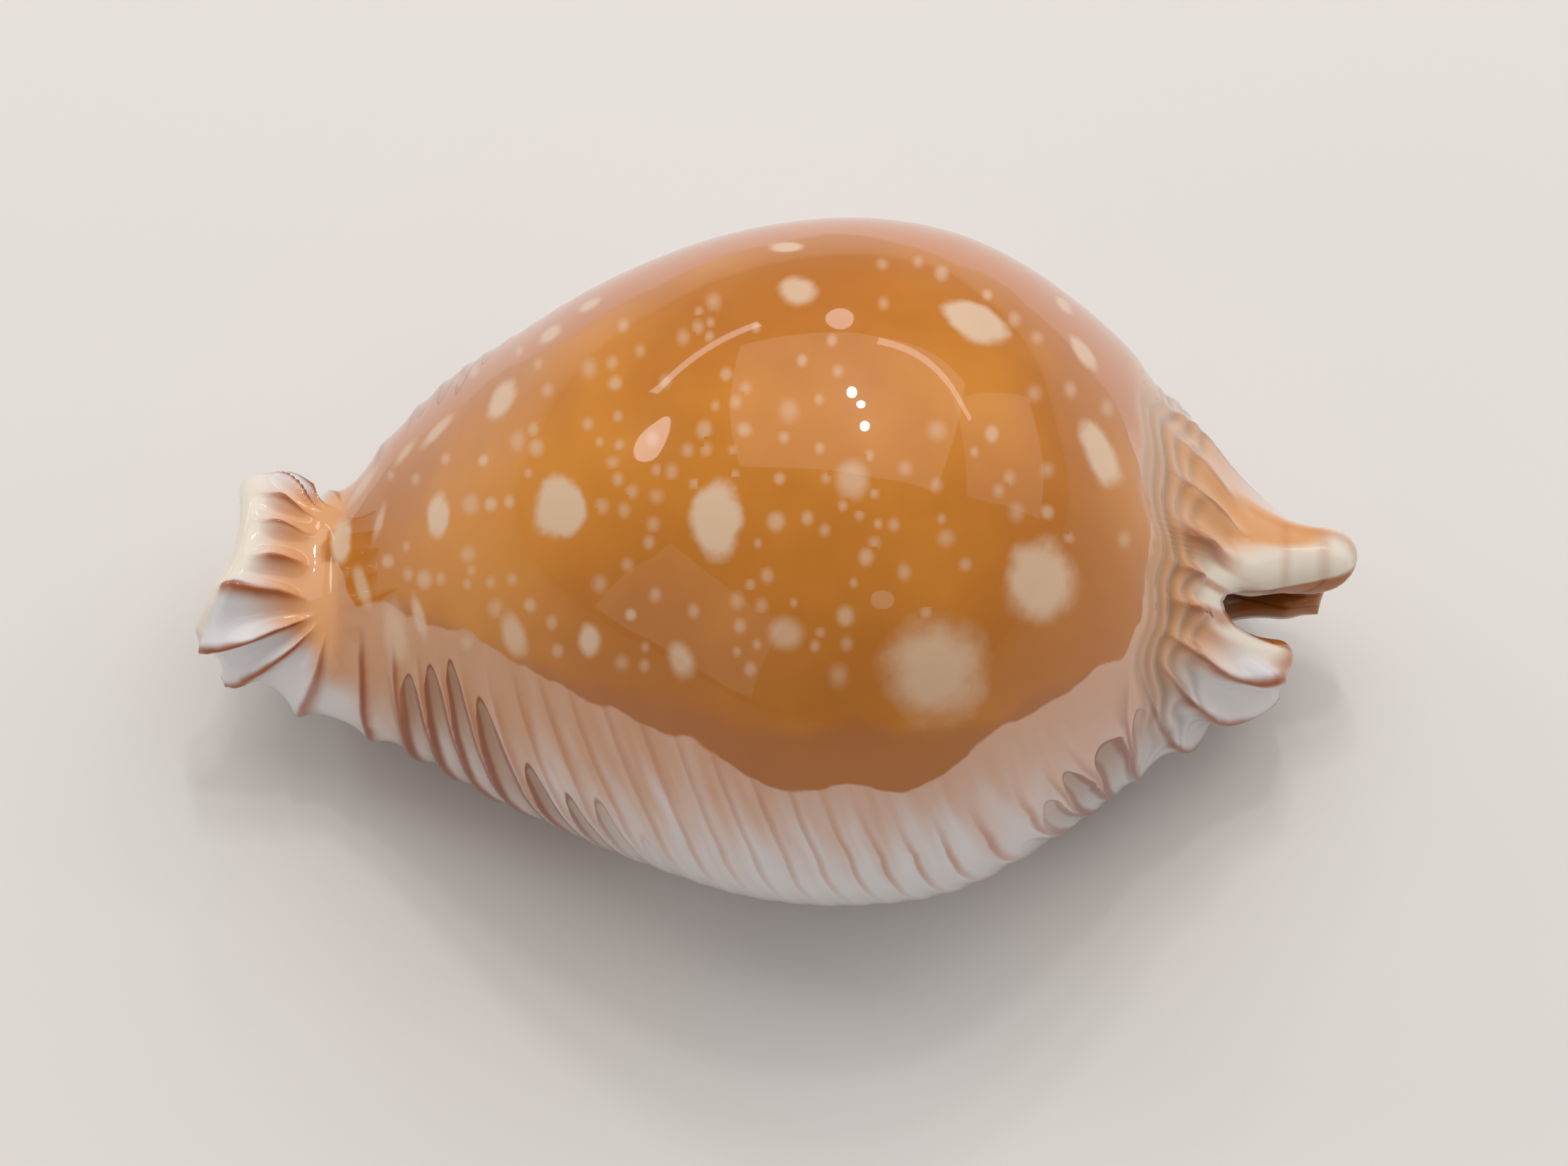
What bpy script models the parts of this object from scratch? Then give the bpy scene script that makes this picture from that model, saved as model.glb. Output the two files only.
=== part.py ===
"""A great spotted cowrie shell, grown as one piece.

The shell is a thick sheet rolled into a hollow egg. Its two long edges almost meet underneath, where they
are the toothed lips of the aperture. Its two ends are the rims of the canals.

Frame: +X is the posterior end, -X the anterior end, +Z the back (dorsum), +Y the outer lip (labrum) and -Y
the inner lip (columella). Every size is in millimetres until the mesh is made, which is in metres.
"""

import bpy
import numpy as np

MM = 0.001

# Driving dimensions. SETTLE is how deep the two flat spots on which the shell rests are cut into its base
LENGTH = 62.0
WIDTH = 36.8
HEIGHT = 32.0
APERTURE = 2.8
WALL = 2.4
LIP = 4.2
FRONT_RIM = 2.4
REAR_RIM = 2.6
SETTLE = 0.5
LEVELLED = 0.06
NARROWEST = 0.3

# Ribs: their spacing and height on the flank, at the teeth and at the two ends, the smooth band along the rims,
# and how narrow their crests are
RIB_SPACING = 1.75
RIB_OFFSET = 0.32
EVEN_STRETCH = 14.0
WIDENING = 0.025
FLANK_RIB = 0.12
TOOTH = 0.38
TOOTH_DEPTH = 2.5
END_RIB = 0.85
RIM_BAND = (0.6, 2.2)
FLANK_CREST = 1.3
END_CREST = 2.5

# Grid of the sheet before it is thinned, and the most triangles that the solid may keep
COLUMNS = 260
ROWS = 200
EDGE_STEPS = 5
TRIANGLES = 9400

HALF = LENGTH / 2

# Where the ribs begin to fan out: distance from the middle, share of the half girth above which they run
# lengthwise, and the girth and the width of the fan
FRONT_FAN = 24.5
REAR_FAN = 21.2
FAN_SHARE = 0.13
FAN_GIRTH = 20.0
FAN_WIDTH = 6.0
LEAN = 16.0
LEVEL = 0.75

# Where a form begins and where it is full. THICKENING is in degrees from the back, FLANK and TEETH are shares of
# the half girth from the back, ENDS, LEANING, UPRIGHT and HORN are places, and the rest are distances
THICKENING = (60, 140)
ENDS = (0.6, 0.85)
LEANING = (-0.8, -0.3)
UPRIGHT = (0.45, 0.65)
FLANK = (0.30, 0.55)
TEETH = (0.75, 0.95)
HORN = (0.76, 0.84)
HORN_LEFT = (160, 175)
HORN_RIGHT = (225, 240)
FAN_RISE = (0.0, 2.0)
FAN_MIDDLE = (0.8, 3.5)

# A section's way round over the sum of its half width and half height
ROUND_FACTOR = 3.2
MOST_SHARE = 0.98
TINY = 1e-6

# Profiles along the shell: (place, value). A place is a share of the half-length, from -1 at the anterior end
# to 1 at the posterior end. Heights are shares of HEIGHT, and widths are shares of WIDTH.
BACK_HEIGHT = (
    (-1.0, 0.40), (-0.9, 0.37), (-0.79, 0.365), (-0.70, 0.47), (-0.58, 0.625), (-0.42, 0.80), (-0.22, 0.93),
    (-0.02, 0.99), (0.14, 1.0), (0.30, 0.965), (0.44, 0.87), (0.56, 0.725), (0.66, 0.555), (0.74, 0.44),
    (0.82, 0.395), (1.0, 0.36),
)
BASE_HEIGHT = ((-1.0, 0.15), (-0.8, 0.085), (-0.5, 0.025), (0.0, 0.0), (0.4, 0.02), (0.7, 0.08), (1.0, 0.17))
MARGIN_HEIGHT = (
    (-1.0, 0.25), (-0.8, 0.22), (-0.55, 0.27), (-0.3, 0.36), (0.0, 0.42), (0.3, 0.42), (0.55, 0.34),
    (0.75, 0.25), (1.0, 0.27),
)
LEFT_WIDTH = (
    (-1.0, 0.145), (-0.9, 0.16), (-0.8, 0.193), (-0.65, 0.230), (-0.45, 0.306), (-0.25, 0.386), (-0.05, 0.447),
    (0.14, 0.457), (0.3, 0.427), (0.45, 0.345), (0.6, 0.242), (0.72, 0.152), (0.85, 0.105), (1.0, 0.085),
)
RIGHT_WIDTH = (
    (-1.0, 0.165), (-0.92, 0.152), (-0.84, 0.136), (-0.785, 0.172), (-0.72, 0.25), (-0.65, 0.314), (-0.45, 0.41),
    (-0.25, 0.475), (-0.05, 0.512), (0.14, 0.522), (0.3, 0.502), (0.45, 0.454), (0.6, 0.38), (0.7, 0.303),
    (0.78, 0.214), (0.86, 0.155), (1.0, 0.125),
)
KEEL_OFFSET = ((-1.0, 2.2), (-0.8, 2.0), (-0.5, 0.6), (0.0, 0.0), (0.5, 0.3), (0.8, 1.6), (1.0, 1.8))
APERTURE_OFFSET = ((-1.0, 2.0), (-0.5, 3.0), (0.0, 3.3), (0.5, 3.0), (0.8, 2.2), (1.0, 1.6))
APERTURE_GAP = ((-1.0, 1.4), (-0.7, 1.2), (-0.2, 1.0), (0.5, 0.9), (0.8, 1.1), (1.0, 1.25))
ROUNDNESS_ABOVE = (
    (-1.0, 2.6), (-0.8, 2.1), (-0.6, 2.0), (0.0, 2.05), (0.5, 2.0), (0.75, 2.0), (1.0, 2.3),
)
ROUNDNESS_BELOW = ((-1.0, 2.3), (-0.5, 2.6), (0.0, 2.8), (0.5, 2.6), (1.0, 2.3))

# Rims of the two canals: (girth in degrees, place). Girth runs from the aperture, over the left margin at 90,
# the back at 180 and the right margin at 270, to the aperture again.
ANTERIOR_RIM = (
    (0, -0.95), (40, -0.99), (85, -1.03), (110, -1.025), (140, -0.99), (180, -0.972), (220, -0.975),
    (260, -0.985), (310, -0.96), (360, -0.94),
)
POSTERIOR_RIM = (
    (0, 0.86), (40, 0.87), (75, 0.88), (92, 0.875), (110, 0.845), (128, 0.80), (145, 0.76), (160, 0.745),
    (172, 0.775), (184, 0.855), (198, 0.94), (218, 0.98), (245, 0.985), (275, 0.975), (310, 0.945), (360, 0.92),
)


def along(knots, place):
    """The smooth curve through the knots, at each place."""
    at, value = np.array(knots, float).T
    slope = np.gradient(value, at)
    place = np.clip(place, at[0], at[-1])
    i = np.clip(np.searchsorted(at, place) - 1, 0, len(at) - 2)
    step = at[i + 1] - at[i]
    f = (place - at[i]) / step
    rise = f * f * (3 - 2 * f)
    return (
        value[i] + (value[i + 1] - value[i]) * rise
        + slope[i] * step * f * (1 - f) ** 2
        - slope[i + 1] * step * f * f * (1 - f)
    )


def ease(value, low, high):
    """A smooth step from 0 at low to 1 at high."""
    f = np.clip((value - low) / (high - low), 0, 1)
    return f * f * (3 - 2 * f)


def powered(wave, roundness):
    """A sine or cosine bent so that its circle becomes a squarer one."""
    return np.sign(wave) * np.abs(wave) ** (2 / roundness)


def lip_girth(place, side):
    """The girth at which a lip ends, from the bottom of the section. Side is -1 for the left lip."""
    edge = along(APERTURE_OFFSET, place) + side * APERTURE * along(APERTURE_GAP, place) / 2
    off = edge - along(KEEL_OFFSET, place)
    width = WIDTH * np.where(off < 0, along(LEFT_WIDTH, place), along(RIGHT_WIDTH, place))
    share = np.clip(np.abs(off) / width, 0, MOST_SHARE)
    angle = np.degrees(np.arcsin(share ** (along(ROUNDNESS_BELOW, place) / 2)))
    return -np.sign(off) * angle


def skin(place, girth, wall=0.0):
    """Points of the outer surface, or of the inner one where a wall thickness is given."""
    turn = np.radians(girth)
    low = np.cos(turn) > 0
    roundness = np.where(low, along(ROUNDNESS_BELOW, place), along(ROUNDNESS_ABOVE, place))
    across, down = powered(np.sin(turn), roundness), powered(np.cos(turn), roundness)
    width = WIDTH * np.where(across > 0, along(LEFT_WIDTH, place), along(RIGHT_WIDTH, place))
    margin, base, back = ((HEIGHT + SETTLE) * along(k, place) for k in (MARGIN_HEIGHT, BASE_HEIGHT, BACK_HEIGHT))
    reach = np.where(low, margin - base, back - margin)
    width = np.maximum(width - wall, NARROWEST * width)
    reach = np.maximum(reach - wall, NARROWEST * reach)
    y = along(KEEL_OFFSET, place) - width * across
    return np.stack((HALF * place + 0 * y, y, margin - reach * down), axis=-1)


def spread(step, steps, length, rounding):
    """The distance of a grid line from the first edge. Lines are close together where the edges are round."""
    near = rounding * (1 - np.cos(np.pi / 2 * np.minimum(step / EDGE_STEPS, 1)))
    far = rounding * (1 - np.cos(np.pi / 2 * np.minimum((steps - step) / EDGE_STEPS, 1)))
    middle = np.clip((step - EDGE_STEPS) / (steps - 2 * EDGE_STEPS), 0, 1)
    return near + (length - 2 * rounding) * middle + rounding - far


def girth_length(place):
    """Roughly how far it is around the section."""
    width = WIDTH * (along(LEFT_WIDTH, place) + along(RIGHT_WIDTH, place)) / 2
    height = HEIGHT * (along(BACK_HEIGHT, place) - along(BASE_HEIGHT, place)) / 2
    return ROUND_FACTOR * (width + height)


def rim_slant(rim, girth, around):
    """How much nearer a slanting rim is than it looks along the shell."""
    slope = HALF * (along(rim, girth + 1) - along(rim, girth - 1)) / (2 * around / 360)
    return 1 / np.sqrt(1 + slope ** 2)


def sheet_grid(columns, rows):
    """Place and girth on a grid over the sheet, and how far each point is from a rim and from a lip."""
    i, j = np.meshgrid(np.arange(columns + 1), np.arange(rows + 1), indexing="ij")
    girth = 360 * j / rows
    for _ in range(3):
        start, stop = along(ANTERIOR_RIM, girth), along(POSTERIOR_RIM, girth)
        length = HALF * (stop - start)
        from_rim = spread(i, columns, length, FRONT_RIM / 2)
        place = start + from_rim / HALF
        left, right = lip_girth(place, -1), 360 + lip_girth(place, 1)
        around = girth_length(place)
        from_lip = spread(j, rows, around, LIP / 2)
        girth = left + (right - left) * from_lip / around
    near_start = from_rim * rim_slant(ANTERIOR_RIM, girth, around)
    near_stop = (length - from_rim) * rim_slant(POSTERIOR_RIM, girth, around)
    return place, girth, np.minimum(near_start, near_stop), np.minimum(from_lip, around - from_lip)


def thickness(place, girth):
    """The wall, thin over the back, thick at the lips and middling at the rims."""
    low = ease(np.abs(girth - 180), *THICKENING)
    end = ease(np.abs(place), *ENDS)
    rim = np.where(place > 0, REAR_RIM, FRONT_RIM)
    side = WALL + (LIP - WALL) * low
    return side + (rim - side) * end


def rounded(distance, radius):
    """How far the two faces have opened at this distance from an edge, so that the edge is a half round."""
    return np.sqrt(1 - (1 - np.clip(distance / radius, 0, 1)) ** 2)


def fan_start(place):
    return np.where(place > 0, REAR_FAN, FRONT_FAN)


def rib_number(place, girth):
    """Counts the ribs. They cross the sides, lean towards the anterior end, and fan out around each end."""
    length = HALF * np.abs(place)
    share = np.abs(girth - 180) / 180
    lean = LEAN * (LEVEL - share) * ease(place, *LEANING) * (1 - ease(place, *UPRIGHT))
    beyond = np.maximum(length - fan_start(place), 0)
    angle = np.arctan2(beyond, FAN_GIRTH * np.maximum(share - FAN_SHARE, TINY))
    above = FAN_GIRTH * np.maximum(FAN_SHARE - share, 0) * (beyond > 0)
    side = np.minimum(length, fan_start(place))
    side = side - WIDENING * np.maximum(side - EVEN_STRETCH, 0) ** 2
    return (np.sign(place) * (side + FAN_WIDTH * angle / (np.pi / 2) + above) + lean) / RIB_SPACING - RIB_OFFSET


def rib_height(place, girth, from_rim):
    """How far a rib stands out here: most at the ends, little on the middle of the flank, none on the back."""
    share = np.abs(girth - 180) / 180
    length = HALF * np.abs(place)
    near_end = ease(length, 0, fan_start(place))
    flank = (FLANK_RIB + (END_RIB / 2 - FLANK_RIB) * near_end) * ease(share, *FLANK)
    tooth = TOOTH * ease(share, *TEETH)
    beyond = length - fan_start(place)
    reach = np.hypot(beyond, FAN_GIRTH * np.maximum(share - FAN_SHARE, 0))
    horn = ease(place, *HORN) * ease(girth, *HORN_LEFT) * (1 - ease(girth, *HORN_RIGHT))
    end = END_RIB * ease(beyond, *FAN_RISE) * ease(reach, *FAN_MIDDLE) * (1 - horn)
    fade = ease(from_rim, *RIM_BAND)
    wave = (1 + np.cos(2 * np.pi * rib_number(place, girth))) / 2
    crest = wave ** (FLANK_CREST + (END_CREST - FLANK_CREST) * near_end)
    return np.maximum(np.maximum(flank, tooth), end) * fade * crest


def stitched(columns, rows):
    """Faces of the closed sheet, and the index of its outer and inner grid points."""
    outer = np.arange((columns + 1) * (rows + 1)).reshape(columns + 1, rows + 1)
    inner = outer.copy()
    inner[1:-1, 1:-1] = outer.size + np.arange((columns - 1) * (rows - 1)).reshape(columns - 1, rows - 1)

    def quads(grid):
        return np.stack((grid[:-1, :-1], grid[1:, :-1], grid[1:, 1:], grid[:-1, 1:]), -1).reshape(-1, 4)

    return np.concatenate((quads(outer), quads(inner)[:, ::-1])), outer, inner


def point_normals(points, faces):
    """The mean direction of the faces around each point."""
    corners = points[faces]
    facing = np.cross(corners[:, 2] - corners[:, 0], corners[:, 3] - corners[:, 1])
    total = np.zeros_like(points)
    for k in range(4):
        np.add.at(total, faces[:, k], facing)
    return total / np.linalg.norm(total, axis=1, keepdims=True)


def shell_points(columns, rows):
    """Points and faces of the whole shell, in millimetres, standing on the two lips."""
    place, girth, from_rim, from_lip = sheet_grid(columns, rows)
    outside = skin(place, girth)
    inside = skin(place, girth, thickness(place, girth))
    middle, half = (outside + inside) / 2, (outside - inside) / 2
    radius = np.linalg.norm(half, axis=-1)
    opening = rounded(from_rim, radius) * rounded(from_lip, radius)
    faces, outer, inner = stitched(columns, rows)
    points = np.zeros((inner.max() + 1, 3))
    height = np.zeros(len(points))
    ribs = rib_height(place, girth, from_rim)
    for grid, side in ((inner, -1), (outer, 1)):
        points[grid] = middle + side * half * opening[..., None]
        height[grid] = ribs * (1 if side > 0 else 1 - ease(from_lip, 0, TOOTH_DEPTH))
    points += point_normals(points, faces) * height[:, None]
    points[:, 2] = np.maximum(points[:, 2] - SETTLE, 0)
    points[:, :2] -= (points[:, :2].min(axis=0) + points[:, :2].max(axis=0)) / 2
    return points, faces


# Blender objects
def clear_scene():
    for item in list(bpy.data.objects):
        bpy.data.objects.remove(item, do_unlink=True)


def glossy_shell():
    """The orange of the back stands for the whole shell here."""
    material = bpy.data.materials.new("polished_shell")
    material.use_nodes = True
    shader = material.node_tree.nodes["Principled BSDF"]
    shader.inputs["Base Color"].default_value = (0.62, 0.30, 0.10, 1)
    shader.inputs["Roughness"].default_value = 0.18
    shader.inputs["Metallic"].default_value = 0.0
    return material


def thinned(item, triangles):
    """Collapses the edges that carry least shape, until the solid has about this many triangles."""
    thin = item.modifiers.new("thin", "DECIMATE")
    thin.decimate_type = "COLLAPSE"
    thin.ratio = triangles / (2 * len(item.data.polygons))
    thin.use_collapse_triangulate = True


def settled(item):
    """Levels the two spots that the shell rests on, which thinning leaves a little uneven."""
    mesh = bpy.data.meshes.new_from_object(item.evaluated_get(bpy.context.evaluated_depsgraph_get()))
    for corner in mesh.vertices:
        if corner.co.z < LEVELLED * MM:
            corner.co.z = 0
    item.modifiers.clear()
    item.data = mesh


def make_shell():
    points, faces = shell_points(COLUMNS, ROWS)
    mesh = bpy.data.meshes.new("shell")
    mesh.from_pydata((points * MM).tolist(), [], faces.tolist())
    mesh.shade_smooth()
    mesh.materials.append(glossy_shell())
    shell = bpy.data.objects.new("shell", mesh)
    bpy.context.scene.collection.objects.link(shell)
    thinned(shell, TRIANGLES)
    settled(shell)
    return shell


clear_scene()
make_shell()
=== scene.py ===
"""The look of the great spotted cowrie: a fine mesh of the whole shell, its markings and its gloss.

Sizes are in millimetres until a mesh is made. A place is a share of the half length, from -1 at the
anterior end to 1 at the posterior end. A girth is in degrees round a section: 0 is the aperture, 90 the left
margin, 180 the back and 270 the right margin. A share is how far round a point is from the back, from 0 to 1
at the aperture. A pixel is (x, y) in the photo, whose size is 2222 x 1652. A pair of numbers given to ease()
is where its smooth step starts and where it ends.
"""

import bpy
import numpy as np
from mathutils import Matrix, Vector
from mathutils.bvhtree import BVHTree


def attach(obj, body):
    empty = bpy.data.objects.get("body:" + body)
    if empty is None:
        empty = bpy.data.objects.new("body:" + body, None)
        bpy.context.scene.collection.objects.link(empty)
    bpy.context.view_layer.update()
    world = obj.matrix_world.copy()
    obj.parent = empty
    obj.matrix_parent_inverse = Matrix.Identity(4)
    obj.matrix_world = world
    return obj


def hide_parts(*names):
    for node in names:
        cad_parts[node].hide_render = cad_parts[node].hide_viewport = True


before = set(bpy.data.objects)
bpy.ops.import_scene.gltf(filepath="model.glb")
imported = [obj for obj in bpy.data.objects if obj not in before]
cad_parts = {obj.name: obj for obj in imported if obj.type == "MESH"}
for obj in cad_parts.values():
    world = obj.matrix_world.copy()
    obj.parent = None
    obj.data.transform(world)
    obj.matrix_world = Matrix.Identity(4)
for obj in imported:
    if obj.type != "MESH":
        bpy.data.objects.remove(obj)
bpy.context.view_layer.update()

MM = 0.001
TINY = 1e-6

# The shell's driving dimensions, as in the solid
LENGTH = 62.0
WIDTH = 36.8
HEIGHT = 32.0
APERTURE = 2.8
WALL = 2.4
LIP = 4.2
FRONT_RIM = 2.4
REAR_RIM = 2.6
SETTLE = 0.5
NARROWEST = 0.3
HALF = LENGTH / 2

# The fine grid. The outer face has every line of it, and the inner face only some, away from its edges
COLUMNS = 340
ROWS = 252
EDGE_STEPS = 6
CROWDING = 0.4
SETTLING_STEPS = 12
BODY = (-0.7, 0.6)
BODY_LINES = (0.15, 0.83)
INNER_EDGE = 12
INNER_COLUMN_STEP = 3
INNER_ROW_STEP = 4

# Ribs. RIB_AT gives each rib's place on the left margin, and its number. Beyond the middles of the two fans
# the ribs turn to run lengthwise, and the TURNS give the ribs passed at each angle in degrees
RIB_AT = (
    (-0.84, -14), (-0.728, -13), (-0.653, -12), (-0.594, -11), (-0.536, -10), (-0.485, -9), (-0.42, -8),
    (-0.302, -6), (-0.243, -5), (0.065, 0.5), (0.372, 6), (0.447, 7), (0.504, 8), (0.548, 9), (0.60, 10),
)
FRONT_FAN = 24.5
REAR_FAN = 17.8
FRONT_TURN = ((0, 0), (10, 0.4), (33, 1.4), (50, 2.4), (85, 3.4), (90, 3.5))
REAR_TURN = ((0, 0), (5.6, 0.5), (20, 1.5), (34.5, 2.5), (55.5, 3.5), (88, 4.5), (90, 4.55))
FRONT_MIDDLE = 0.13
REAR_MIDDLE = 0.167
FRONT_SPACING = 1.9
REAR_SPACING = 1.67
FAN_GIRTH = 20.0
LEAN = 16.0
LEVEL = 0.556
LEANING = (-0.8, -0.3)
UPRIGHT = (0.45, 0.65)
CREST_ROUNDING = 0.05
SHARPNESS = (1.3, 2.2)

# Heights of the ribs in mm, lower by the factor REAR_MARGIN behind the middle, and the shares at which they
# start and are full
FLANK_RIB = 0.05
MARGIN_RIB = 0.45
REAR_MARGIN = 0.45
FLAT_MIDDLE = 3.0
RIB_TOP = 0.24
RIB_TOP_AT_ENDS = -0.04
RIB_TOP_REARWARD = 0.12
RIB_FULL = 0.56
REARWARD = (-0.1, 0.2)
TOOTH = 0.38
TOOTH_DEPTH = 2.5
TEETH = (0.75, 0.95)
END_RIB = 0.95
END_RIB_REACH = (1.0, 4.0)

# Where the ribs of the two fans start: the front ones in mm past FRONT_FAN, the rear ones by place. On the
# far side, the rear ones are lower
FRONT_START = (0, 2)
REAR_START = (0.62, 0.70)
FAR_LOWERING = 0.55
FAR_REAR = (186, 206)

# The smooth rims of the canals, and the horn
RIM_BAND = (0.7, 2.4)
NARROW_RIM = 0.35
WIDE_REAR_RIM = (128, 150)
WIDE_FRONT_RIM = (150, 172)
HORN_THICKENING = 0.9
HORN_PLACE = (0.72, 0.80)
HORN_GIRTH = ((166, 178), (212, 230))

# Folds across the back between the body and the posterior neck: (place, depth in mm). They waver by
# FOLD_WAVES: (amount, waves around, phase)
DEEPEST_FOLD = 0.20
FOLDS = ((0.604, 0.10), (0.622, 0.16), (0.643, DEEPEST_FOLD), (0.668, 0.14), (0.695, 0.10))
FOLD_WIDTH = 0.009
FOLD_WAVES = ((0.010, 5, 0), (0.006, 13, 1))
FOLDS_END = (0.48, 0.62)

# Profiles along the shell: (place, value), with heights and widths as shares of HEIGHT and WIDTH
BACK_HEIGHT = (
    (-1.0, 0.40), (-0.9, 0.37), (-0.79, 0.365), (-0.70, 0.47), (-0.58, 0.625), (-0.42, 0.80), (-0.22, 0.93),
    (-0.02, 0.99), (0.14, 1.0), (0.30, 0.965), (0.44, 0.87), (0.56, 0.725), (0.66, 0.555), (0.74, 0.44),
    (0.82, 0.395), (1.0, 0.36),
)
BASE_HEIGHT = ((-1.0, 0.15), (-0.8, 0.085), (-0.5, 0.025), (0.0, 0.0), (0.4, 0.02), (0.7, 0.08), (1.0, 0.17))
MARGIN_HEIGHT = (
    (-1.0, 0.25), (-0.8, 0.22), (-0.55, 0.27), (-0.3, 0.36), (0.0, 0.42), (0.3, 0.42), (0.55, 0.34),
    (0.75, 0.25), (1.0, 0.27),
)
LEFT_WIDTH = (
    (-1.0, 0.145), (-0.9, 0.16), (-0.8, 0.193), (-0.65, 0.230), (-0.45, 0.306), (-0.25, 0.386),
    (-0.05, 0.447), (0.14, 0.457), (0.3, 0.427), (0.45, 0.345), (0.6, 0.242), (0.72, 0.152), (0.85, 0.105),
    (1.0, 0.085),
)
RIGHT_WIDTH = (
    (-1.0, 0.165), (-0.92, 0.152), (-0.84, 0.136), (-0.785, 0.172), (-0.72, 0.25), (-0.65, 0.314),
    (-0.45, 0.41), (-0.25, 0.475), (-0.05, 0.512), (0.14, 0.522), (0.3, 0.502), (0.45, 0.454), (0.6, 0.38),
    (0.7, 0.303), (0.78, 0.214), (0.86, 0.155), (1.0, 0.125),
)
KEEL_OFFSET = ((-1.0, 2.2), (-0.8, 2.0), (-0.5, 0.6), (0.0, 0.0), (0.5, 0.3), (0.8, 1.6), (1.0, 1.8))
APERTURE_OFFSET = ((-1.0, 2.0), (-0.5, 3.0), (0.0, 3.3), (0.5, 3.0), (0.8, 2.2), (1.0, 1.6))
APERTURE_GAP = ((-1.0, 1.4), (-0.7, 1.2), (-0.2, 1.0), (0.5, 0.9), (0.8, 1.1), (1.0, 1.25))
ROUNDNESS_ABOVE = (
    (-1.0, 2.6), (-0.8, 2.1), (-0.6, 2.0), (0.0, 2.05), (0.5, 2.0), (0.75, 2.0), (1.0, 2.3),
)
ROUNDNESS_BELOW = ((-1.0, 2.3), (-0.5, 2.6), (0.0, 2.8), (0.5, 2.6), (1.0, 2.3))
THICKENING = (60, 140)
ENDS = (0.6, 0.85)
ROUND_FACTOR = 3.2
MOST_SHARE = 0.98

# Rims of the two canals: (girth, place)
ANTERIOR_RIM = (
    (0, -0.95), (40, -0.99), (85, -1.01), (102, -1.035), (118, -1.028), (150, -1.002), (180, -0.972),
    (220, -0.975), (260, -0.985), (310, -0.96), (360, -0.94),
)
POSTERIOR_RIM = (
    (0, 0.86), (40, 0.87), (75, 0.88), (92, 0.875), (110, 0.845), (128, 0.80), (145, 0.76), (160, 0.745),
    (172, 0.775), (184, 0.855), (198, 0.94), (218, 0.98), (245, 0.985), (275, 0.975), (310, 0.945),
    (360, 0.92),
)

# The edge of the orange on the back, on the left side and on the right: (place, girth)
LEFT_EDGE = (
    (-0.79, 176), (-0.778, 166), (-0.69, 149), (-0.615, 139), (-0.52, 132), (-0.43, 126), (-0.35, 122),
    (-0.24, 118), (-0.115, 114), (0.02, 108), (0.11, 110), (0.2, 108), (0.335, 116), (0.42, 121),
    (0.515, 127), (0.58, 138), (0.60, 157), (0.605, 176),
)
RIGHT_EDGE = (
    (-0.79, 192), (-0.73, 203), (-0.60, 205.5), (-0.50, 208), (-0.40, 207.5), (-0.28, 210), (-0.17, 214),
    (-0.05, 217), (0.06, 218.5), (0.17, 217), (0.26, 214), (0.34, 212), (0.40, 208), (0.46, 204), (0.52, 200),
    (0.565, 193), (0.60, 180),
)

# The places of its two ends, and how much more slowly it fades at the front one
ORANGE_ENDS = (-0.80, 0.602)
FRONT_FADE = 0.3

# How wide the duller second edge of the orange is on the left side, in mm, and where the fingers of painted
# dark reflection between the ribs begin: (place, share)
SECOND_EDGE = ((-0.45, 0.0), (-0.28, 1.4), (-0.07, 3.0), (0.2, 3.2), (0.33, 1.6), (0.48, 0.0), (0.6, 0.0))
FINGER_TOP = (
    (-0.80, 0.30), (-0.65, 0.305), (-0.56, 0.335), (-0.45, 0.415), (-0.36, 0.48), (-0.30, 0.51), (0.0, 0.60),
    (0.38, 0.56), (0.474, 0.47), (0.544, 0.41), (0.60, 0.35), (0.70, 0.33),
)

# Where markings start and end. FAR is where the far side starts, and BEYOND is in mm past a fan's start
FAR = (185, 205)
BEYOND = (0, 1.5)
RIM_COLOUR = (0.8, 2.2)
FRONT_TIPS = (118, 138)
PALE_PLACE = (0.68, 0.80)
PALE_SHARE = (0.32, 0.44)
FAR_TAN_GIRTH = ((184, 200), (236, 262))
FAR_TAN_PLACE = ((-0.80, -0.70), (0.58, 0.66))

# The tan streaks under the ribs: the share where they start, what shifts it, and how strong they are from
# the middle of the flank to its ends. How much weaker one is than the others goes by the number of its rib
STREAK_TOP = 0.27
STREAK_TOP_VARIES = 0.08
STREAK_TOP_REARWARD = 0.07
STREAK_TOP_FRONT = -0.12
STREAK_TOP_FAR = -0.08
STREAK_FRONT = (0.5, 0.75)
STREAK_RISE = 0.10
STREAK_STRENGTH = (0.65, 0.95)
STREAK_ENDS = (0.1, 0.65)
WEAKEST_STREAK = 0.6
STREAK_TURN = 12.9
LOW_FADE = 0.7
LOW_SHARE = (0.50, 0.60)
MIDDLE = (0.3, 0.5)

# The fingers of painted dark reflection between the ribs, and the dark lines on the ribs
FINGER_LOWER_FAR = 0.11
FINGER_VARIES = 0.03
FINGER_TURN = 7.7
FAR_FINGER_FADE = 0.3
REAR_FINGERS = (0.38, 0.52)
FRONT_FINGERS = ((0.18, 0.42), (0.64, 0.70))
FAN_COLOUR_REACH = (1.2, 3.2)
FAN_LINE = 0.5
MARGIN_LINE = 0.8
FRONT_LINES = (0.63, 0.69)
FRONT_LINE_TOP = (0.20, 0.32)
REAR_LINES = ((0.54, 0.60), (0.68, 0.74))
REAR_LINE_TOP = (0.28, 0.40)

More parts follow.
